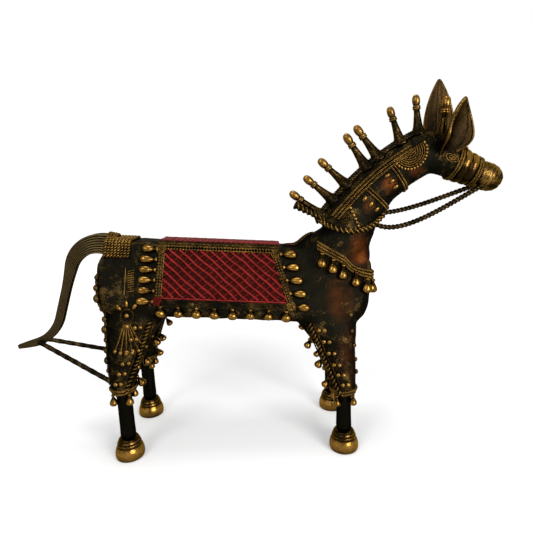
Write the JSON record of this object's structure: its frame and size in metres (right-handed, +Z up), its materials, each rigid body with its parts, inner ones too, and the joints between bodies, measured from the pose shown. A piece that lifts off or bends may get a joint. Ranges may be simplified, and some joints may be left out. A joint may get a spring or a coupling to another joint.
{
  "type": "bankura horse",
  "caption": "Standing cast brass folk horse ornament with a red lattice saddle cloth, pegged mane, tall leaf ears, reins, hanging bells and a tail propped by two stays.",
  "frame": {"origin": "on the plane of the hoof soles, in the horse's middle plane, under the middle of its overall length", "axes": "+X towards the head, +Y to the horse's left, +Z up"},
  "size_m": [0.312, 0.068, 0.2229],
  "materials": {
    "dark_brass": "black-brown patina, raised parts rubbed",
    "bright_brass": "rubbed bright with dark recesses",
    "red_lacquer": "gloss red lacquer over brass",
    "clay": "baked core clay, sealed inside"
  },
  "bodies": {
    "root": {"belly_bells_left": "bright_brass", "belly_bells_right": "bright_brass", "breast_collar": "bright_brass", "browband": "bright_brass", "clay_core": "clay", "collar_bells_left": "bright_brass", "collar_bells_right": "bright_brass", "ear_left": "dark_brass", "ear_right": "dark_brass", "eye_rings": "bright_brass", "fore_hoof_left": "bright_brass", "fore_hoof_right": "bright_brass", "fore_leg_left": "dark_brass", "fore_leg_right": "dark_brass", "fore_shank_left": "dark_brass", "fore_shank_right": "dark_brass", "forelock_peg": "bright_brass", "head": "dark_brass", "hem_bells": "bright_brass", "hind_hoof_left": "bright_brass", "hind_hoof_right": "bright_brass", "hind_leg_left": "dark_brass", "hind_leg_right": "dark_brass", "hind_shank_left": "dark_brass", "hind_shank_right": "dark_brass", "leg_bells": "bright_brass", "leg_braids": "bright_brass", "lower_neck_strap": "bright_brass", "mane_cords": "bright_brass", "mane_pegs": "bright_brass", "mane_ridge": "dark_brass", "muzzle": "bright_brass", "muzzle_band": "bright_brass", "neck": "dark_brass", "neck_medallions": "bright_brass", "noseband": "bright_brass", "rein_left": "dark_brass", "rein_loop": "dark_brass", "rein_right": "dark_brass", "rein_tail": "dark_brass", "saddle_border_left": "dark_brass", "saddle_border_right": "dark_brass", "saddle_front_bells_left": "bright_brass", "saddle_front_bells_right": "bright_brass", "saddle_lattice_left": "red_lacquer", "saddle_lattice_right": "red_lacquer", "saddle_rear_bells_left": "bright_brass", "saddle_rear_bells_right": "bright_brass", "saddle_rosettes": "bright_brass", "saddle_top": "red_lacquer", "tail": "dark_brass", "tail_binding": "dark_brass", "tail_stay_left": "dark_brass", "tail_stay_right": "dark_brass", "thigh_flower_left": "dark_brass", "thigh_flower_right": "dark_brass", "trunk_skin": "dark_brass", "upper_neck_strap": "bright_brass"}
  },
  "joints": []
}
